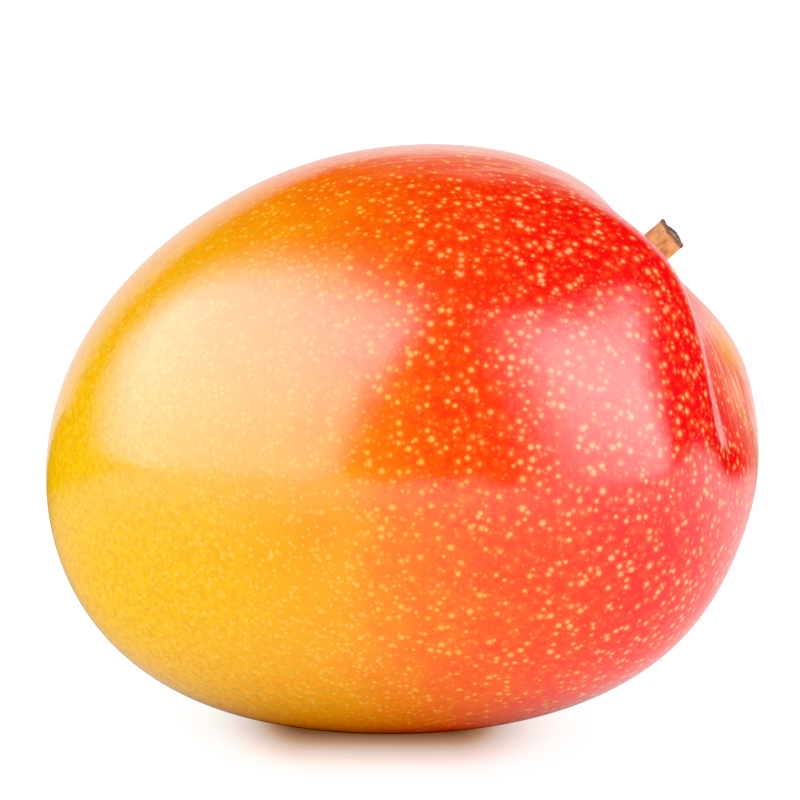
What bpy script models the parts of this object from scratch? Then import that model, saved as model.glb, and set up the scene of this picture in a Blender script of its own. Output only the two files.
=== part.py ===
"""A ripe mango with the stub of its stalk, lying on its belly.

Two pieces: the fruit, one solid body, and the woody stalk stub, which stands in a
shallow socket at the bottom of the stalk hollow.

The fruit is a plump ovoid with soft forms raised on it or pressed into it. A place
on it is given by two angles. "Round" goes round the profile in the plane of symmetry:
0 is the stalk end, 90 the back, 180 the tip end, and the belly is at -90. "Side"
leaves that plane, towards the front cheek where it is positive.

The origin is the middle of the flat spot that the fruit rests on. +Z is up, +X is
towards the stalk end and -Y towards the front cheek. Metres.
"""

import math
from collections import namedtuple

import bmesh
import bpy
from mathutils import Matrix, Vector

NAME = "mango"

# The plain ovoid
HALF_LENGTH = 0.0579
HALF_HEIGHT = 0.0474
HALF_THICKNESS = 0.0450
STALK_END_FULLNESS = 0.03  # how much wider the ovoid is at the stalk end than at its middle

# Soft forms on the ovoid: place and spread in degrees, rise in metres
Form = namedtuple("Form", "round side spread rise")
BACK = Form(80, 0, 35, 0.0022)
BACK_OF_STALK_END = Form(58, 0, 18, 0.0015)
BELLY = Form(-28, 0, 48, 0.0084)
BELLY_OF_TIP_END = Form(-138, 0, 36, 0.0050)
REAR_BELLY = Form(-83, -26, 14, 0.0009)
BACK_OF_TIP_END = Form(140, 0, 35, -0.0009)
STALK_END_DIP = Form(-10, 0, 25, -0.0057)
FRONT_SHOULDER = Form(30, 19, 14, 0.0034)
FRONT_OF_HOLLOW = Form(41, 7.5, 9, 0.0004)
REAR_SHOULDER = Form(-2, -22, 25, 0.0048)
TOP_OF_REAR_SHOULDER = Form(14, -21, 10.5, 0.0011)
STALK_HOLLOW = Form(35, 0, 9, -0.0050)
FORMS = (
    BACK,
    BACK_OF_STALK_END,
    BELLY,
    BELLY_OF_TIP_END,
    REAR_BELLY,
    BACK_OF_TIP_END,
    STALK_END_DIP,
    FRONT_SHOULDER,
    FRONT_OF_HOLLOW,
    REAR_SHOULDER,
    TOP_OF_REAR_SHOULDER,
    STALK_HOLLOW,
)

# The furrow that runs from the stalk hollow down the stalk end, between the shoulders.
# Its wall is steep towards the front shoulder and easy towards the rear one.
# Degrees and metres.
FURROW_TOP = 36.0
FURROW_LENGTH = 42.5
FURROW_SIDE = 5.5
FURROW_FRONT_WIDTH = 6.5
FURROW_REAR_WIDTH = 20.0
FURROW_DEPTH = 0.0034

# How the fruit lies
TURN_TO_FRONT = math.radians(12.0)  # the stalk end comes towards the front
STALK_END_UP = math.radians(7.3)
LEAN_BACK = math.radians(14.0)  # the back leans away from the front
FLAT_DEPTH = 0.0008  # what the resting spot takes off the belly

# The stalk stub and its socket
STALK_TILT = math.radians(32.0)  # the stalk's slope over the fruit's long axis
STALK_LENGTH = 0.0087  # from the bottom of the hollow to the cut end
STALK_ROOT = 0.0037  # how deep the stalk stands in the fruit
STALK_ROOT_RADIUS = 0.0032
STALK_TIP_RADIUS = 0.0029
STALK_BEND = 0.0004
STALK_RIDGES = 5
STALK_RIDGE_DEPTH = 0.00012
CUT_SLANT = 0.03  # rise of the cut end over its width
CUT_RAGGEDNESS = 0.00025
SOCKET_GAP = 0.0003

# Fineness of the meshes
NET_CUTS = 23  # cuts across each side of the cube that becomes the fruit
NET_PULL = 0.35  # how far the fruit's net is drawn together round the stalk
STALK_SIDES = 20
STALK_RINGS = 6

SKIN_COLOUR = (0.90, 0.20, 0.03, 1.0)
BARK_COLOUR = (0.42, 0.20, 0.08, 1.0)


def clear_scene():
    for old in list(bpy.data.objects):
        bpy.data.objects.remove(old, do_unlink=True)


def new_collection(name):
    collection = bpy.data.collections.new(name)
    bpy.context.scene.collection.children.link(collection)
    return collection


def new_material(name, colour, roughness):
    material = bpy.data.materials.new(name)
    material.use_nodes = True
    shader = material.node_tree.nodes["Principled BSDF"]
    shader.inputs["Base Color"].default_value = colour
    shader.inputs["Roughness"].default_value = roughness
    shader.inputs["Metallic"].default_value = 0.0
    return material


def new_object(name, bm, collection):
    mesh = bpy.data.meshes.new(name)
    bm.to_mesh(mesh)
    bm.free()
    obj = bpy.data.objects.new(name, mesh)
    collection.objects.link(obj)
    return obj


def direction(round_angle, side_angle):
    """Unit vector in the fruit's own frame: long axis, back, front cheek."""
    turn = math.radians(round_angle)
    side = math.radians(side_angle)
    return Vector((math.cos(turn) * math.cos(side), math.sin(turn) * math.cos(side), math.sin(side)))


def form_rise(form, place):
    """Height of one soft form at a unit vector."""
    apart = math.degrees(place.angle(direction(form.round, form.side)))
    return form.rise * math.exp(-((apart / form.spread) ** 2))


def furrow_depth(place):
    """Depth of the furrow at a unit vector."""
    round_angle = math.degrees(math.atan2(place.y, place.x))
    side_angle = math.degrees(math.asin(max(-1.0, min(1.0, place.z))))
    middle = FURROW_TOP - FURROW_LENGTH / 2
    along = math.exp(-((abs(round_angle - middle) / (FURROW_LENGTH / 2)) ** 4))
    apart = side_angle - FURROW_SIDE
    width = FURROW_FRONT_WIDTH if apart > 0 else FURROW_REAR_WIDTH
    return FURROW_DEPTH * along * math.exp(-((apart / width) ** 2))


def fruit_point(place):
    """Point of the fruit's surface, in its own frame, for a unit vector."""
    fullness = 1.0 + STALK_END_FULLNESS * place.x
    point = Vector(
        (
            HALF_LENGTH * place.x,
            HALF_HEIGHT * fullness * place.y,
            HALF_THICKNESS * fullness * place.z,
        )
    )
    outward = Vector((place.x / HALF_LENGTH, place.y / HALF_HEIGHT, place.z / HALF_THICKNESS))
    rise = sum(form_rise(form, place) for form in FORMS) - furrow_depth(place)
    return point + outward.normalized() * rise


def resting_attitude():
    """Rotation from the fruit's own frame to the way it lies."""
    own_to_upright = Matrix(((1, 0, 0), (0, 0, -1), (0, 1, 0)))
    lean = Matrix.Rotation(-LEAN_BACK, 3, "X")
    lift = Matrix.Rotation(-STALK_END_UP, 3, "Y")
    turn = Matrix.Rotation(-TURN_TO_FRONT, 3, "Z")
    return turn @ lift @ lean @ own_to_upright


def net_place(corner, stalk):
    """Unit vector for a point of the cube's net, drawn towards the stalk."""
    even = Vector([math.tan(value * math.pi / 4) for value in corner]).normalized()
    place = direction(STALK_HOLLOW.round, 0).rotation_difference(Vector((1, 0, 0))).inverted() @ even
    apart = place.angle(stalk)
    if apart < 1e-6 or apart > math.pi - 1e-6:
        return place
    return stalk.slerp(place, (apart - NET_PULL * math.sin(apart)) / apart)


def flatten_belly(bm):
    """Cut the resting spot off the belly and return the middle of the flat."""
    level = min(vert.co.z for vert in bm.verts) + FLAT_DEPTH
    everything = bm.verts[:] + bm.edges[:] + bm.faces[:]
    cut = bmesh.ops.bisect_plane(
        bm,
        geom=everything,
        plane_co=(0, 0, level),
        plane_no=(0, 0, 1),
        clear_inner=True,
    )
    rim = [part for part in cut["geom_cut"] if isinstance(part, bmesh.types.BMEdge)]
    flat = bmesh.ops.contextual_create(bm, geom=rim)["faces"][0]
    return flat.calc_center_median()


def make_fruit(collection):
    """The fruit's body, with its resting spot on the origin, and where that spot was."""
    bm = bmesh.new()
    bmesh.ops.create_cube(bm, size=2.0)
    bmesh.ops.subdivide_edges(bm, edges=bm.edges[:], cuts=NET_CUTS, use_grid_fill=True)
    attitude = resting_attitude()
    stalk = direction(STALK_HOLLOW.round, 0)
    for vert in bm.verts:
        vert.co = attitude @ fruit_point(net_place(vert.co, stalk))
    spot = flatten_belly(bm)
    bmesh.ops.translate(bm, verts=bm.verts[:], vec=-spot)
    bmesh.ops.recalc_face_normals(bm, faces=bm.faces[:])
    return new_object("fruit", bm, collection), spot


def stalk_frame(spot):
    """Place of the stalk: its foot on the bottom of the hollow, +Z out of the fruit."""
    attitude = resting_attitude()
    foot = attitude @ fruit_point(direction(STALK_HOLLOW.round, 0)) - spot
    axis = attitude @ direction(math.degrees(STALK_TILT), 0)
    across = (attitude @ direction(math.degrees(STALK_TILT) + 90, 0)).normalized()
    third = axis.cross(across)
    turn = Matrix((across, third, axis)).transposed().to_4x4()
    return Matrix.Translation(foot) @ turn


def shape_stalk(bm):
    """Taper, ridges, bend and ragged cut end of the stalk, along its own +Z."""
    height = STALK_ROOT + STALK_LENGTH
    for vert in bm.verts:
        share = vert.co.z / height + 0.5
        around = math.atan2(vert.co.y, vert.co.x)
        reach = math.hypot(vert.co.x, vert.co.y)
        ridge = STALK_RIDGE_DEPTH * share * math.cos(STALK_RIDGES * around)
        widen = (reach + ridge) / reach if reach > 1e-6 else 1.0
        vert.co.x *= widen
        vert.co.y *= widen
        if share > 0.99:
            ragged = CUT_RAGGEDNESS * math.sin(3 * around) * reach / STALK_TIP_RADIUS
            vert.co.z += ragged - CUT_SLANT * vert.co.x
        vert.co.x += STALK_BEND * share**2
        vert.co.z += height / 2 - STALK_ROOT


def make_stalk(collection, frame):
    bm = bmesh.new()
    bmesh.ops.create_cone(
        bm,
        cap_ends=True,
        cap_tris=True,
        segments=STALK_SIDES,
        radius1=STALK_ROOT_RADIUS - STALK_RIDGE_DEPTH,
        radius2=STALK_TIP_RADIUS,
        depth=STALK_ROOT + STALK_LENGTH,
    )
    uprights = [edge for edge in bm.edges if abs(edge.verts[0].co.z - edge.verts[1].co.z) > 1e-4]
    bmesh.ops.subdivide_edges(bm, edges=uprights, cuts=STALK_RINGS - 1)
    shape_stalk(bm)
    stalk = new_object("stem", bm, collection)
    stalk.matrix_world = frame
    return stalk


def make_socket_cutter(collection, frame):
    """Cylinder that drills the stalk's socket into the bottom of the hollow."""
    depth = STALK_ROOT + SOCKET_GAP
    overshoot = depth
    bm = bmesh.new()
    bmesh.ops.create_cone(
        bm,
        cap_ends=True,
        segments=STALK_SIDES,
        radius1=STALK_ROOT_RADIUS + SOCKET_GAP,
        radius2=STALK_ROOT_RADIUS + SOCKET_GAP,
        depth=depth + overshoot,
    )
    bmesh.ops.translate(bm, verts=bm.verts[:], vec=(0, 0, (overshoot - depth) / 2))
    cutter = new_object("socket_cutter", bm, collection)
    cutter.matrix_world = frame
    cutter.hide_render = True
    cutter.display_type = "WIRE"
    return cutter


def drill(obj, cutter):
    boolean = obj.modifiers.new("stalk socket", "BOOLEAN")
    boolean.operation = "DIFFERENCE"
    boolean.solver = "EXACT"
    boolean.object = cutter


def finish(obj, material, crease_angle):
    obj.data.materials.append(material)
    obj.data.shade_smooth()
    obj.data.set_sharp_from_angle(angle=math.radians(crease_angle))


def main():
    clear_scene()
    parts = new_collection(NAME)
    cutters = new_collection("cutters")
    fruit, spot = make_fruit(parts)
    frame = stalk_frame(spot)
    stalk = make_stalk(parts, frame)
    drill(fruit, make_socket_cutter(cutters, frame))
    finish(fruit, new_material("skin", SKIN_COLOUR, 0.25), crease_angle=40)
    finish(stalk, new_material("bark", BARK_COLOUR, 0.75), crease_angle=50)


main()
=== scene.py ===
import math

import bpy
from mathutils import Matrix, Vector


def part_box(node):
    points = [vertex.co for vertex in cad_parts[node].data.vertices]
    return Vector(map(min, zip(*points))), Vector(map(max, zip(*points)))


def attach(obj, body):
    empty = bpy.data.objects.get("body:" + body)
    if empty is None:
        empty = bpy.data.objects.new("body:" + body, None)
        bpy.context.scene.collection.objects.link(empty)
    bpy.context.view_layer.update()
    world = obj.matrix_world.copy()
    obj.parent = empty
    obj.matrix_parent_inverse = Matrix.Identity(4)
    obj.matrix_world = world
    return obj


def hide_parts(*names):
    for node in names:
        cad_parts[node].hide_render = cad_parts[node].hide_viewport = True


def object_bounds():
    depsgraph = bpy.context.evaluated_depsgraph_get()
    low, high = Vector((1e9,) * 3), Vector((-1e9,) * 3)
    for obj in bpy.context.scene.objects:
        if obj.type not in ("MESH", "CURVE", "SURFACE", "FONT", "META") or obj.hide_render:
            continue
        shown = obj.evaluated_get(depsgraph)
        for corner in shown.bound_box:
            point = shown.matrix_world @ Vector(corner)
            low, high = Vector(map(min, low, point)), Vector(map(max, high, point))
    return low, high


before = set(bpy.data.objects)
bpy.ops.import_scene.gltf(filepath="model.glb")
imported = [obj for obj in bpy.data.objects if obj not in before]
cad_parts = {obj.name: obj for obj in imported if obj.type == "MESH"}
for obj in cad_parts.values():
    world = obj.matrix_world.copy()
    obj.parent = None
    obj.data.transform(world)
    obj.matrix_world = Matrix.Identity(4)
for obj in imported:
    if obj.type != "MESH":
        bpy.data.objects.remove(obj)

# A ripe mango: the skin over the fruit's solid, and the stub of its stalk.
# Metres; +X is towards the stalk end, +Z up, and the front cheek faces -Y.
# A pair of numbers named as an edge or a fade is where a soft step starts and ends.

# Camera
CAMERA_RISE = math.radians(11.0)
CAMERA_DISTANCE = 0.6989
CAMERA_LENS = 185.85
CAMERA_SENSOR = 36.0
CAMERA_NEAR = 0.01
CAMERA_FAR = 50.0
AIM_LEFT = 0.0003
AIM_UP = 0.0064

# Copies of the solids: which points merge, which triangles pair up, and how finely they are smoothed
MERGE_WITHIN = 0.00002
PAIR_FACES = math.radians(40)
PAIR_SHAPES = math.radians(60)
SMOOTH_LEVELS = 2

# Stalk: which way it points out of the fruit, and how deep the points lie that mark its ends
STALK_AXIS = Vector((0.7855, -0.0359, 0.6178)).normalized()
STALK_RADIUS = 0.0029
END_RING = 0.0006

# The drilled socket in the fruit's solid, from the stalk's root, and how far the skin closes it
SOCKET_DEPTH = 0.0037
SOCKET_REACH = 0.0038
SOCKET_CLOSED = (0.70, 0.70, 0.70)

# The stalk's cut end: rings under it, a rim and a lip round a sunken face, and a ragged edge
RINGS_UNDER_CUT = (0.0003, 0.0012)
CUT_FACING = 0.8
CUT_RIM = 0.0004
CUT_LIP = 0.0003
CUT_SUNK = 0.0004
RAGGED_FROM = 0.0007
RAGGED_BY = 0.00010
RAGGED_EVENNESS = 0.5
RAGGED_SEED = 3

# The tip end is the fruit's farthest point against this way
TIP_WAY = Vector((0.97, -0.15, 0.20))

# Ways in the scene
RIGHT = (1.0, 0.0, 0.0)
BACK = (0.0, 1.0, 0.0)
UP = (0.0, 0.0, 1.0)

WHITE = (1.0, 1.0, 1.0, 1.0)
BLACK = (0.0, 0.0, 0.0, 1.0)

# Floor: its finish
FLOOR_LOW = (-6.0, -6.0)
FLOOR_HIGH = (6.0, 6.0)
FLOOR_COLOUR = (0.55, 0.55, 0.55, 1.0)
FLOOR_ROUGHNESS = 0.15
FLOOR_IOR = 1.22

# Floor: the warm shadow that the camera sees under the fruit, from its middle to its edge
FLOOR_GLOW = 1.2
SHADOW_REACH = 0.060
SHADOW_MIDDLE = 0.012
SHADOW_SHORTER_SIDEWAYS = 2.2
SHADOW = [
    (0.14, (0.10, 0.04, 0.01)),
    (0.23, (0.26, 0.12, 0.06)),
    (0.32, (0.48, 0.33, 0.26)),
    (0.41, (0.62, 0.53, 0.49)),
    (0.50, (0.70, 0.66, 0.64)),
    (0.60, (0.76, 0.75, 0.74)),
    (0.93, (0.92, 0.92, 0.92)),
]

# Floor: the light that it throws back on the fruit, from none at the contact to all of it
BOUNCE_EDGE = (0.010, 0.100)

# Table sheet: dark at the contact, dim near the fruit, most so on its left, and bright away from it
TABLE_LOW = (-2.5, -2.5)
TABLE_HIGH = (2.5, 3.0)
TABLE_CONTACT = 0.015
TABLE_NEAR = 0.05
TABLE_FAR = 0.40
TABLE_SIDE_EDGE = (-0.08, 0.0)
TABLE_DIM = (0.30, 0.80)
TABLE_BRIGHT = 1.7

# Table sheet: it ends behind the fruit, but for a wedge straight behind it
TABLE_END_WAY = (-0.25, 1.0, 0.0)
TABLE_END_EDGE = (0.22, 0.05)
WEDGE_SLOPE = 1.2
WEDGE_EDGE = (0.03, 0.09)

# Room: an even light, of which gloss sees only a low strip at the back, towards the left
ROOM_LIGHT = 1.4
STRIP_BACK_EDGE = (0.66, 0.82)
STRIP_TOP_EDGE = (0.56, 0.36)
STRIP_RIGHT_EDGE = (0.68, 0.52)

# Softboxes: each side's starting corner, as a turn and a rise in degrees, and its softness
PANEL_REACH = 1.3
PANEL_SEGMENTS = 96
PANEL_RINGS = 64
LEFT_PANEL = [
    ((-26, -4), 0.15),
    ((-18, 36), 0.26),
    ((6, 66), 0.50),
    ((-68, 73), 0.80),
    ((-106, 64), 0.70),
    ((-126, 49), 0.50),
    ((-127, 35), 0.50),
    ((-93, -7), 0.22),
]
RIGHT_PANEL = [
    ((119, -14), 0.40),
    ((91, 26), 0.25),
    ((79, 42), 0.40),
    ((63, 70), 0.25),
    ((45, 78), 0.46),
    ((23, -10), 0.18),
]

# Softboxes: how the way in which each brightens leans to +X, its fade, and its glow at both ends
LEFT_LEAN = -0.55
LEFT_FADE = (0.38, 1.06)
LEFT_GLOW = (4.4, 8.1)
RIGHT_LEAN = 0.75
RIGHT_FADE = (0.30, 1.12)
RIGHT_GLOW = (2.28, 8.23)

# Film: how scene light becomes brightness, with a soft toe and shoulder
FILM = [
    (0.02, 0.004),
    (0.04, 0.024),
    (0.06, 0.048),
    (0.10, 0.094),
    (0.5, 0.5),
    (0.81, 0.70),
    (1.0, 0.84),
    (1.2, 0.955),
]
FILM_WHITE = 1.4
ALL_COLOURS_CURVE = 3


class Wire:
    """An output of a node. Sums written with it add Math nodes."""

    def __init__(self, bench, socket):
        self.bench = bench
        self.socket = socket

    def __add__(self, other):
        return self.bench.maths("ADD", self, other)

    def __radd__(self, other):
        return self.bench.maths("ADD", other, self)

    def __sub__(self, other):
        return self.bench.maths("SUBTRACT", self, other)

    def __rsub__(self, other):
        return self.bench.maths("SUBTRACT", other, self)

    def __mul__(self, other):
        return self.bench.maths("MULTIPLY", self, other)

    def __rmul__(self, other):
        return self.bench.maths("MULTIPLY", other, self)

    def __truediv__(self, other):
        return self.bench.maths("DIVIDE", self, other)

    def __pow__(self, other):
        return self.bench.maths("POWER", self, other)


class Bench:
    """A node tree that is being built up."""

    def __init__(self, tree):
        self.tree = tree
        self.tree.nodes.clear()

    def node(self, kind, settings=None, inputs=None, output=0):
        """Add a node: its settings first, then the values or wires of its sockets."""
        made = self.tree.nodes.new(kind)
        for name, value in (settings or {}).items():
            if name == "stops":
                set_stops(made.color_ramp, value)
            else:
                setattr(made, name, value)
        for name, value in (inputs or {}).items():
            if isinstance(value, Wire):
                self.tree.links.new(value.socket, made.inputs[name])
            else:
                made.inputs[name].default_value = value
        return Wire(self, made.outputs[output]) if made.outputs else None

    def maths(self, operation, first, second=0.0):
        return self.node("ShaderNodeMath", {"operation": operation}, {0: first, 1: second})

    def place(self):
        """Object coordinates."""
        return self.node("ShaderNodeTexCoord", None, None, "Object")

    def from_point(self, place, point):
        """The place, counted from a fixed point."""
        return self.node("ShaderNodeMapping", None, {"Vector": place, "Location": tuple(-point)})

    def length(self, vector):
        return self.node("ShaderNodeVectorMath", {"operation": "LENGTH"}, {0: vector}, "Value")

    def dot(self, vector, direction):
        """How far a vector reaches along a fixed direction."""
        settings = {"operation": "DOT_PRODUCT"}
        return self.node("ShaderNodeVectorMath", settings, {0: vector, 1: tuple(direction)}, "Value")

    def smooth(self, value, start, end, low=0.0, high=1.0):
        """A soft step from low to high while value goes from start to end."""
        return self.node(
            "ShaderNodeMapRange",
            {"interpolation_type": "SMOOTHSTEP"},
            {"Value": value, "From Min": start, "From Max": end, "To Min": low, "To Max": high},
        )

    def mix(self, share, first, second):
        """Mix of two colours, which are sockets 6 and 7 of the node. Their mix is its output 2."""
        return self.node("ShaderNodeMix", {"data_type": "RGBA"}, {0: share, 6: first, 7: second}, 2)

    def ramp(self, value, stops):
        """Colour that follows a value."""
        return self.node("ShaderNodeValToRGB", {"stops": stops}, {"Fac": value}, "Color")

    def cloud(self, place, size, detail, roughness):
        """Soft noise from 0 to 1 with patches of about the given size in metres."""
        inputs = {"Vector": place, "Scale": 1.0 / size, "Detail": detail, "Roughness": roughness}
        return self.node("ShaderNodeTexNoise", None, inputs)

    def surface(self, kind, inputs):
        """Finish the tree with a surface shader."""
        shader = self.node(kind, None, inputs)
        self.node("ShaderNodeOutputMaterial", None, {"Surface": shader})


def set_stops(ramp, stops):
    """Set a colour ramp's stops, each a place from 0 to 1 and a colour."""
    while len(ramp.elements) < len(stops):
        ramp.elements.new(1.0)
    for element, (place, colour) in zip(ramp.elements, stops):
        element.position = place
        element.color = (*colour, 1.0)


def new_finish(name):
    material = bpy.data.materials.new(name)
    material.use_nodes = True
    return material, Bench(material.node_tree)


def swing(noise, width):
    """Noise from 0 to 1 made to swing over a width about zero."""
    return (noise - 0.5) * width


# --- Materials ---------------------------------------------------------------

# Clouds in the skin: size in metres, detail and roughness
BROAD_CLOUD = (0.030, 3.0, 0.55)
MOTTLE_CLOUD = (0.006, 3.0, 0.6)
FLECK_CLOUD = (0.0011, 2.0, 0.6)
PEEL_CLOUD = (0.0022, 2.0, 0.5)
RIPPLE_CLOUD = (0.008, 1.0, 0.5)

# The blush, from the yellow tip end to the crimson stalk end
BLUSH_WAY = Vector((0.89, -0.055, 0.225))
BLUSH_WIDTH = 0.105
BLUSH_SHIFT = 0.50
BLUSH_BROAD_SWING = 0.16
BLUSH_MOTTLE_SWING = 0.12
RED_EDGE = (0.30, 0.62)
CRIMSON_EDGE = (0.52, 0.80)
SKIN_COLOURS = [
    (0.00, (0.94, 0.44, 0.008)),
    (0.22, (0.95, 0.35, 0.006)),
    (0.38, (0.95, 0.24, 0.004)),
    (0.50, (0.95, 0.115, 0.003)),
    (0.62, (0.95, 0.050, 0.004)),
    (0.78, (0.93, 0.014, 0.008)),
    (1.00, (0.88, 0.006, 0.014)),
]

# Flecks: their share on the yellow, and how much less it is on the red
OLIVE_FLECK = (0.70, 0.27, 0.004, 1.0)
DEEP_FLECK = (0.80, 0.008, 0.012, 1.0)
FLECK_EDGE = (0.45, 0.60)
FLECKS = 0.60
FLECKS_LESS = 0.25

# Painted sheen on the rear shoulder: a pale colour with streaks from the stalk, in place of the
# skin's reflection of the bright backdrop, and how fine the streaks are round the stalk and away
# from it
PAINTED_SHEEN = (0.97, 0.42, 0.28, 1.0)
REAR_SWING = 0.010
REAR_FRONT_EDGE = (-0.016, -0.002)
REAR_STALK_EDGE = (0.008, 0.018)
REAR_FAR_EDGE = (0.054, 0.034)
REAR_SHEEN = 0.34
SHEEN_STREAKS = 0.50
SHEEN_STREAK_EDGE = (0.46, 0.62)
SHEEN_STREAKS_ROUND = 28.0
SHEEN_STREAKS_ALONG = 130.0
SHEEN_STREAK_CLOUD = (1.0, 3.0, 0.65)

# Marks where the rear shoulder turns down from the stalk, and the scar at the tip end
PATCH_PLACE = Vector((0.0582, -0.0005, 0.0655))
PATCH_COLOUR = (0.95, 0.30, 0.04, 1.0)
PATCH_EDGE = (0.0065, 0.0020)
PATCH_SWING = 0.006
PATCH_SHARE = 0.75
BRUISE_PLACE = Vector((0.0607, -0.0060, 0.0548))
BRUISE_COLOUR = (0.42, 0.20, 0.04, 1.0)
BRUISE_EDGE = (0.0016, 0.0005)
BRUISE_SWING = 0.002
BRUISE_SHARE = 0.55
SCAR_COLOUR = (0.30, 0.14, 0.05, 1.0)
SCAR_EDGE = (0.0022, 0.0008)
SCAR_SWING = 0.0015
SCAR_SHARE = 0.9

# Lenticels: spacing and radius, then the least size and what chance, a random colour's red, adds
LARGE_DOTS = (0.00160, 0.00066)
SMALL_DOTS = (0.00110, 0.00045)
DOT_LEAST = 0.50
DOT_CHANCE = 0.60
RED_PART = (1.0, 0.0, 0.0)

# Lenticels: edges in radii, colours, and their shares on the yellow and the red
DOT_EDGE = (1.1, 0.05)
HALO_EDGE = (2.3, 0.6)
DOT_ON_YELLOW = (0.98, 0.57, 0.10, 1.0)
DOT_ON_ORANGE = (0.98, 0.42, 0.05, 1.0)
DOT_ON_RED = (0.98, 0.39, 0.18, 1.0)
HALO_ON_RED = (0.96, 0.15, 0.02, 1.0)
HALO_SHARE = 0.25
SMALL_DOTS_SHARE = 0.55
SMALL_DOTS_LESS = 0.35
LARGE_DOTS_SHARE = 0.30
LARGE_DOTS_MORE = 0.60

# Gloss and relief of the skin
SKIN_IOR = 1.5
SKIN_ROUGHNESS = 0.10
FLECK_ROUGHNESS = 0.08
SCAR_ROUGHNESS = 0.3
SKIN_RELIEF = 0.25
SKIN_RELIEF_DEPTH = 0.0003
RIPPLE_HEIGHT = 1.4
PEEL_HEIGHT = 0.30
FLECK_HEIGHT = 0.10
DOT_HEIGHT = 0.10
SCAR_DEPTH = 0.6


def dot_distance(bench, place, spacing, radius):
    """Distance from the nearest lenticel, in radii of that one. Their sizes are mixed."""
    inputs = {"Vector": place, "Scale": 1.0 / spacing}
    apart = bench.node("ShaderNodeTexVoronoi", None, inputs, "Distance")
    chance = bench.dot(bench.node("ShaderNodeTexVoronoi", None, inputs, "Color"), RED_PART)
    return apart / ((DOT_LEAST + DOT_CHANCE * chance) * (radius / spacing))


def spot(bench, place, point, wander, edge):
    """A spot round a fixed point, with an edge that wanders: 1 in it and 0 outside."""
    settings = {"operation": "DISTANCE"}
    apart = bench.node("ShaderNodeVectorMath", settings, {0: place, 1: tuple(point)}, "Value")
    return bench.smooth(apart + wander, *edge)


def across_stalk(bench, from_foot):
    """Two distances across the stalk's axis, and the distance from it."""
    across = STALK_AXIS.orthogonal().normalized()
    first, second = bench.dot(from_foot, across), bench.dot(from_foot, STALK_AXIS.cross(across))
    return first, second, (first * first + second * second) ** 0.5


def stalk_sheen_streaks(bench, from_foot):
    """Noise drawn out into fine streaks away from the stalk, for the painted sheen, and the distance
    from its axis.
    """
    first, second, reach = across_stalk(bench, from_foot)
    inputs = {
        "X": first / reach * SHEEN_STREAKS_ROUND,
        "Y": second / reach * SHEEN_STREAKS_ROUND,
        "Z": reach * SHEEN_STREAKS_ALONG,
    }
    ray = bench.node("ShaderNodeCombineXYZ", None, inputs)
    return bench.cloud(ray, *SHEEN_STREAK_CLOUD), reach


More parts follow.
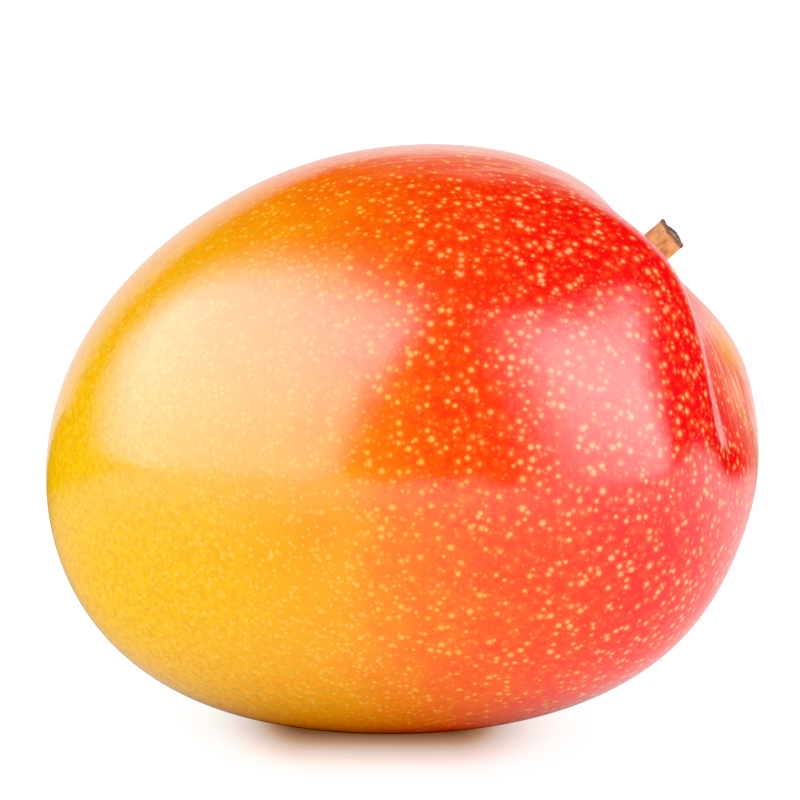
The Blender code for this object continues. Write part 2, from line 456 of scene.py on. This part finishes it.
def skin_finish(middle, foot, tip):
    material, bench = new_finish("mango_skin")
    place = bench.place()
    centred = bench.from_point(place, middle)
    broad = bench.cloud(centred, *BROAD_CLOUD)
    mottle = bench.cloud(centred, *MOTTLE_CLOUD)
    fleck = bench.cloud(centred, *FLECK_CLOUD)

    # How far the blush has come, with soft clouds in it
    blush = bench.dot(centred, BLUSH_WAY) / BLUSH_WIDTH + BLUSH_SHIFT
    blush = blush + swing(broad, BLUSH_BROAD_SWING) + swing(mottle, BLUSH_MOTTLE_SWING)
    skin = bench.ramp(blush, SKIN_COLOURS)
    redness = bench.smooth(blush, *RED_EDGE)

    # Flecks: olive on the yellow, deeper crimson on the red
    between = bench.smooth(fleck, *FLECK_EDGE)
    fleck_colour = bench.mix(redness, OLIVE_FLECK, DEEP_FLECK)
    skin = bench.mix(between * (FLECKS - FLECKS_LESS * redness), skin, fleck_colour)

    # The rear shoulder gets a painted sheen, paler with streaks from the stalk, in place of a
    # reflection; then an orange patch and a bruise
    streaks, reach = stalk_sheen_streaks(bench, bench.from_point(place, foot))
    depth = bench.dot(centred, BACK) + swing(broad, REAR_SWING)
    rear = bench.smooth(depth, *REAR_FRONT_EDGE) * bench.smooth(reach, *REAR_STALK_EDGE)
    rear = rear * spot(bench, place, foot, swing(broad, REAR_SWING), REAR_FAR_EDGE)
    sheen = REAR_SHEEN + SHEEN_STREAKS * bench.smooth(streaks, *SHEEN_STREAK_EDGE)
    skin = bench.mix(rear * sheen, skin, PAINTED_SHEEN)
    patch = spot(bench, place, PATCH_PLACE, swing(mottle, PATCH_SWING), PATCH_EDGE)
    skin = bench.mix(patch * PATCH_SHARE, skin, PATCH_COLOUR)
    bruise = spot(bench, place, BRUISE_PLACE, swing(fleck, BRUISE_SWING), BRUISE_EDGE)
    skin = bench.mix(bruise * BRUISE_SHARE, skin, BRUISE_COLOUR)

    # Lenticels: small and close on the yellow, larger and further apart on the red
    from_large = dot_distance(bench, centred, *LARGE_DOTS)
    large = bench.smooth(from_large, *DOT_EDGE)
    halo = bench.smooth(from_large, *HALO_EDGE)
    small = bench.smooth(dot_distance(bench, centred, *SMALL_DOTS), *DOT_EDGE)
    skin = bench.mix(halo * redness * HALO_SHARE, skin, HALO_ON_RED)
    dot_colour = bench.mix(redness, DOT_ON_YELLOW, DOT_ON_ORANGE)
    dot_colour = bench.mix(bench.smooth(blush, *CRIMSON_EDGE), dot_colour, DOT_ON_RED)
    skin = bench.mix(small * (SMALL_DOTS_SHARE - SMALL_DOTS_LESS * redness), skin, dot_colour)
    skin = bench.mix(large * (LARGE_DOTS_SHARE + LARGE_DOTS_MORE * redness), skin, dot_colour)

    # The scar at the tip end
    scar = spot(bench, place, tip, swing(fleck, SCAR_SWING), SCAR_EDGE)
    skin = bench.mix(scar * SCAR_SHARE, skin, SCAR_COLOUR)

    # Waxy gloss over a fine peel
    ripple = bench.cloud(centred, *RIPPLE_CLOUD)
    peel = bench.cloud(centred, *PEEL_CLOUD)
    height = ripple * RIPPLE_HEIGHT + peel * PEEL_HEIGHT + fleck * FLECK_HEIGHT
    height = height + large * DOT_HEIGHT - scar * SCAR_DEPTH
    relief = {"Height": height, "Strength": SKIN_RELIEF, "Distance": SKIN_RELIEF_DEPTH}
    rough = SKIN_ROUGHNESS + FLECK_ROUGHNESS * fleck + SCAR_ROUGHNESS * scar
    bench.surface(
        "ShaderNodeBsdfPrincipled",
        {
            "Base Color": skin,
            "Roughness": rough,
            "IOR": SKIN_IOR,
            "Normal": bench.node("ShaderNodeBump", None, relief),
        },
    )
    return material


# Bark: its colours, and the clouds in it, each with its share of the tone
BARK_COLOURS = [
    (0.32, (0.30, 0.10, 0.03)),
    (0.46, (0.62, 0.24, 0.05)),
    (0.60, (0.84, 0.34, 0.11)),
    (0.72, (0.74, 0.34, 0.07)),
]
FIBRE_CLOUD = (0.0006, 3.0, 0.65)
FIBRE_ALONG = 0.22
FIBRE_TONE = 0.5
BARK_PATCH_CLOUD = (0.0018, 2.0, 0.5)
BARK_PATCH_TONE = 0.5

# The cut end: its edges, counted down from the end or out from the axis, and their swings
CUT_COLOUR = (0.40, 0.20, 0.13, 1.0)
CUT_SHARE = 0.9
CUT_SIDE_EDGE = (0.82 * STALK_RADIUS, 0.66 * STALK_RADIUS)
CUT_TOP_EDGE = (0.0012, 0.0008)
CHARRED = (0.055, 0.028, 0.018, 1.0)
CHARRED_SHARE = 0.92
CHARRED_EDGE = (0.0009, 0.0004)
CUT_FIBRE_SWING = 0.0010
CUT_PATCH_SWING = 0.0008

# Gloss and relief of the bark
BARK_ROUGHNESS = 0.6
FIBRE_ROUGHNESS = 0.2
BARK_RELIEF = 0.6
BARK_RELIEF_DEPTH = 0.0002


def bark_finish(foot, length):
    material, bench = new_finish("stalk_bark")
    from_foot = bench.from_point(bench.place(), foot)
    first, second, reach = across_stalk(bench, from_foot)
    along = bench.dot(from_foot, STALK_AXIS)

    # Bark fibres run along the stalk
    inputs = {"X": first, "Y": second, "Z": along * FIBRE_ALONG}
    fibre = bench.cloud(bench.node("ShaderNodeCombineXYZ", None, inputs), *FIBRE_CLOUD)
    patch = bench.cloud(from_foot, *BARK_PATCH_CLOUD)
    bark = bench.ramp(fibre * FIBRE_TONE + patch * BARK_PATCH_TONE, BARK_COLOURS)

    # The cut end: a paler face inside a charred, ragged edge
    ragged = swing(fibre, CUT_FIBRE_SWING) + swing(patch, CUT_PATCH_SWING)
    edge = bench.smooth(along + ragged, *(length - below for below in CHARRED_EDGE))
    face = bench.smooth(reach + ragged, *CUT_SIDE_EDGE)
    face = face * bench.smooth(along, *(length - below for below in CUT_TOP_EDGE))
    bark = bench.mix(edge * CHARRED_SHARE, bark, CHARRED)
    bark = bench.mix(face * CUT_SHARE, bark, CUT_COLOUR)
    relief = {"Height": fibre, "Strength": BARK_RELIEF, "Distance": BARK_RELIEF_DEPTH}
    bench.surface(
        "ShaderNodeBsdfPrincipled",
        {
            "Base Color": bark,
            "Roughness": BARK_ROUGHNESS + FIBRE_ROUGHNESS * fibre,
            "Normal": bench.node("ShaderNodeBump", None, relief),
        },
    )
    return material


# --- Pieces ------------------------------------------------------------------


def select_only(obj):
    bpy.ops.object.select_all(action="DESELECT")
    obj.select_set(True)
    bpy.context.view_layer.objects.active = obj


def select_where(piece, kind, wanted):
    """Enter edit mode with just those vertices or faces selected for which wanted(part) holds."""
    select_only(piece)
    bpy.ops.object.mode_set(mode="EDIT")
    bpy.ops.mesh.select_mode(type=kind)
    bpy.ops.mesh.select_all(action="DESELECT")
    bpy.ops.object.mode_set(mode="OBJECT")
    for part in piece.data.vertices if kind == "VERT" else piece.data.polygons:
        part.select = wanted(part)
    bpy.ops.object.mode_set(mode="EDIT")


def copy_of(node, name):
    """A copy of a CAD node, with its loose triangles merged into one closed skin."""
    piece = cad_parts[node].copy()
    piece.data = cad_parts[node].data.copy()
    piece.name = piece.data.name = name
    piece.parent = None
    for key in list(piece.keys()):
        del piece[key]
    bpy.context.scene.collection.objects.link(piece)
    piece.data.materials.clear()
    select_only(piece)
    bpy.ops.object.mode_set(mode="EDIT")
    bpy.ops.mesh.select_all(action="SELECT")
    bpy.ops.mesh.remove_doubles(threshold=MERGE_WITHIN)
    bpy.ops.mesh.customdata_custom_splitnormals_clear()
    bpy.ops.mesh.tris_convert_to_quads(face_threshold=PAIR_FACES, shape_threshold=PAIR_SHAPES)
    bpy.ops.object.mode_set(mode="OBJECT")
    return piece


def subdivide(piece):
    modifier = piece.modifiers.new("smooth", "SUBSURF")
    modifier.levels = modifier.render_levels = SMOOTH_LEVELS
    select_only(piece)
    bpy.ops.object.modifier_apply(modifier=modifier.name)
    bpy.ops.object.shade_smooth()


def stalk_ends():
    """Middle of the stalk's root and of its cut end."""
    points = [vertex.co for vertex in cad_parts["stem"].data.vertices]
    heights = [point.dot(STALK_AXIS) for point in points]
    ends = []
    for end in (min(heights), max(heights)):
        ring = [point for point, height in zip(points, heights) if abs(height - end) < END_RING]
        ends.append(sum(ring, Vector()) / len(ring))
    return ends


def from_axis(point, root):
    """Height over the stalk's root and distance from its axis."""
    height = (point - root).dot(STALK_AXIS)
    return height, (point - root - STALK_AXIS * height).length


def in_socket(point, root):
    height, reach = from_axis(point, root)
    return 0 < height + SOCKET_REACH < SOCKET_DEPTH + 2 * SOCKET_REACH and reach < SOCKET_REACH


def make_skin(root):
    skin = copy_of("fruit", "skin")

    # The skin closes in round the stalk, where the solid has a drilled socket
    select_where(skin, "VERT", lambda vertex: in_socket(vertex.co, root))
    bpy.ops.transform.resize(value=SOCKET_CLOSED, center_override=root + STALK_AXIS * SOCKET_DEPTH)
    bpy.ops.object.mode_set(mode="OBJECT")

    subdivide(skin)
    low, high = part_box("fruit")
    end = min((vertex.co for vertex in skin.data.vertices), key=lambda point: point.dot(TIP_WAY))
    skin.data.materials.append(skin_finish((low + high) / 2, root, end.copy()))
    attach(skin, "root")
    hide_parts("fruit")


def make_stalk(root, tip):
    stalk = copy_of("stem", "stalk")
    length = (tip - root).dot(STALK_AXIS)

    # A tight ring under the cut end, and a rim round a sunken face
    bpy.ops.object.mode_set(mode="EDIT")
    for below in RINGS_UNDER_CUT:
        bpy.ops.mesh.select_all(action="SELECT")
        bpy.ops.mesh.bisect(plane_co=tip - STALK_AXIS * below, plane_no=STALK_AXIS)
    bpy.ops.object.mode_set(mode="OBJECT")
    select_where(stalk, "FACE", lambda face: face.normal.dot(STALK_AXIS) > CUT_FACING)
    bpy.ops.mesh.inset(thickness=CUT_RIM, depth=0.0)
    bpy.ops.mesh.inset(thickness=CUT_LIP, depth=-CUT_SUNK)
    bpy.ops.object.mode_set(mode="OBJECT")
    subdivide(stalk)

    # The cut is ragged
    ragged_height = length - RAGGED_FROM
    select_where(stalk, "VERT", lambda vertex: from_axis(vertex.co, root)[0] > ragged_height)
    bpy.ops.transform.vertex_random(offset=RAGGED_BY, uniform=RAGGED_EVENNESS, seed=RAGGED_SEED)
    bpy.ops.object.mode_set(mode="OBJECT")

    stalk.data.materials.append(bark_finish(root, length))
    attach(stalk, "root")
    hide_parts("stem")


# --- Studio ------------------------------------------------------------------


def add_plane(name, low, high):
    """A flat sheet on the floor between two corners, each (x, y)."""
    bpy.ops.object.select_all(action="DESELECT")
    bpy.ops.mesh.primitive_plane_add(size=1.0)
    plane = bpy.context.object
    plane.name = name
    plane.scale = (high[0] - low[0], high[1] - low[1], 1.0)
    plane.location = ((low[0] + high[0]) / 2, (low[1] + high[1]) / 2, 0.0)
    bpy.ops.object.transform_apply(location=True, rotation=True, scale=True)
    return plane


def make_floor():
    """The white floor. The skin's gloss sees the table sheet in its place."""
    floor = add_plane("floor", FLOOR_LOW, FLOOR_HIGH)
    material, bench = new_finish("floor_white")
    place = bench.place()
    across = bench.maths("ABSOLUTE", bench.dot(place, RIGHT))
    across = bench.maths("MAXIMUM", across - SHADOW_MIDDLE) * SHADOW_SHORTER_SIDEWAYS
    depth = bench.dot(place, BACK)
    reach = (across * across + depth * depth) ** 0.5
    seen = bench.ramp(reach / SHADOW_REACH, SHADOW)
    bounced = bench.mix(bench.smooth(bench.length(place), *BOUNCE_EDGE), BLACK, WHITE)
    glow = bench.mix(bench.node("ShaderNodeLightPath", None, None, "Is Camera Ray"), bounced, seen)
    bench.surface(
        "ShaderNodeBsdfPrincipled",
        {
            "Base Color": FLOOR_COLOUR,
            "Roughness": FLOOR_ROUGHNESS,
            "IOR": FLOOR_IOR,
            "Emission Color": glow,
            "Emission Strength": FLOOR_GLOW,
        },
    )
    floor.data.materials.append(material)
    floor.visible_glossy = False


def light_for_gloss(piece, material, bench, glow):
    """Make a piece of the stage a light that only gloss sees."""
    bench.surface("ShaderNodeEmission", {"Color": glow, "Strength": 1.0})
    piece.data.materials.append(material)
    piece.visible_camera = False
    piece.visible_diffuse = False
    piece.visible_shadow = False


def make_table_sheet():
    """What the gloss of the skin sees below it: a narrow table, brighter away from the fruit."""
    sheet = add_plane("table_sheet", TABLE_LOW, TABLE_HIGH)
    material, bench = new_finish("table_sheet_light")
    place = bench.place()
    reach = bench.length(place)
    side = bench.dot(place, RIGHT)
    near = bench.smooth(side, *TABLE_SIDE_EDGE, *TABLE_DIM)
    glow = bench.smooth(reach, TABLE_NEAR, TABLE_FAR, near, TABLE_BRIGHT)
    glow = glow * bench.smooth(bench.dot(place, TABLE_END_WAY), *TABLE_END_EDGE)
    glow = glow * bench.smooth(reach, TABLE_CONTACT, TABLE_NEAR)
    wedge = bench.dot(place, BACK) - WEDGE_SLOPE * bench.maths("ABSOLUTE", side)
    glow = glow + bench.smooth(wedge, *WEDGE_EDGE)
    light_for_gloss(sheet, material, bench, glow)


def heading(turn, rise):
    """Direction from the fruit: turn from the camera's side towards +X, rise above the floor."""
    turn, rise = math.radians(turn), math.radians(rise)
    flat = math.cos(rise)
    return Vector((math.sin(turn) * flat, -math.cos(turn) * flat, math.sin(rise)))


def make_panel(name, corners, centre, lean, fade, ends):
    """A curved light panel round the fruit, bounded by planes through the fruit's middle.

    Its walls are soft. Its glow goes from the first of its ends to the second over the
    fade: the height, plus the lean for each unit towards +X, of the way to the light.
    """
    bpy.ops.object.select_all(action="DESELECT")
    bpy.ops.mesh.primitive_uv_sphere_add(
        segments=PANEL_SEGMENTS, ring_count=PANEL_RINGS, radius=PANEL_REACH, location=centre
    )
    panel = bpy.context.object
    panel.name = name
    bpy.ops.object.mode_set(mode="EDIT")
    walls = []
    for (first, softness), (second, _) in zip(corners, corners[1:] + corners[:1]):
        inward = heading(*first).cross(heading(*second)).normalized()
        walls.append((inward, softness / 2))
        edge = centre - inward * PANEL_REACH * softness / 2
        bpy.ops.mesh.select_all(action="SELECT")
        bpy.ops.mesh.bisect(plane_co=edge, plane_no=inward, clear_inner=True, clear_outer=False)
    bpy.ops.object.mode_set(mode="OBJECT")
    bpy.ops.object.transform_apply(location=True, rotation=True, scale=True)
    material, bench = new_finish(name + "_light")
    centred = bench.from_point(bench.place(), centre)
    rise = bench.dot(centred, (lean / PANEL_REACH, 0.0, 1.0 / PANEL_REACH))
    glow = bench.smooth(rise, *fade, *ends)
    for inward, half in walls:
        glow = glow * bench.smooth(bench.dot(centred, inward) / PANEL_REACH, -half, half)
    light_for_gloss(panel, material, bench, glow)


def make_world():
    world = bpy.data.worlds.new("studio")
    bpy.context.scene.world = world
    world.use_nodes = True
    world.cycles.sampling_method = "NONE"
    bench = Bench(world.node_tree)
    way = bench.node("ShaderNodeTexCoord", None, None, "Generated")
    strip = bench.smooth(bench.dot(way, BACK), *STRIP_BACK_EDGE)
    strip = strip * bench.smooth(bench.dot(way, UP), *STRIP_TOP_EDGE)
    strip = strip * bench.smooth(bench.dot(way, RIGHT), *STRIP_RIGHT_EDGE)
    glossy = bench.node("ShaderNodeLightPath", None, None, "Is Glossy Ray")
    light = glossy * strip + (1.0 - glossy) * ROOM_LIGHT
    room = bench.node("ShaderNodeBackground", None, {"Color": light, "Strength": 1.0})
    bench.node("ShaderNodeOutputWorld", None, {"Surface": room})


def make_camera(low, high):
    data = bpy.data.cameras.new("camera")
    camera = bpy.data.objects.new("camera", data)
    bpy.context.scene.collection.objects.link(camera)
    back = heading(0.0, math.degrees(CAMERA_RISE))
    up = Vector((0.0, math.sin(CAMERA_RISE), math.cos(CAMERA_RISE)))
    aim = (low + high) / 2 + up * AIM_UP - Vector((AIM_LEFT, 0.0, 0.0))
    camera.location = aim + back * CAMERA_DISTANCE
    camera.rotation_mode = "QUATERNION"
    camera.rotation_quaternion = (-back).to_track_quat("-Z", "Y")
    data.sensor_width = CAMERA_SENSOR
    data.lens = CAMERA_LENS
    data.clip_start = CAMERA_NEAR
    data.clip_end = CAMERA_FAR
    bpy.context.scene.camera = camera


def make_film():
    """How the film answers to light."""
    view = bpy.context.scene.view_settings
    view.view_transform = "Standard"
    view.use_curve_mapping = True
    mapping = view.curve_mapping
    mapping.clip_max_x = FILM_WHITE
    response = mapping.curves[ALL_COLOURS_CURVE]
    response.points[-1].location = (FILM_WHITE, 1.0)
    for light, brightness in FILM:
        response.points.new(light, brightness)
    mapping.update()


def main():
    cad_low, cad_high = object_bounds()
    make_camera(cad_low, cad_high)
    root, tip = stalk_ends()
    make_skin(root)
    make_stalk(root, tip)
    make_floor()
    make_table_sheet()
    middle = (cad_low + cad_high) / 2
    make_panel("left_softbox", LEFT_PANEL, middle, LEFT_LEAN, LEFT_FADE, LEFT_GLOW)
    make_panel("right_softbox", RIGHT_PANEL, middle, RIGHT_LEAN, RIGHT_FADE, RIGHT_GLOW)
    make_world()
    make_film()


main()
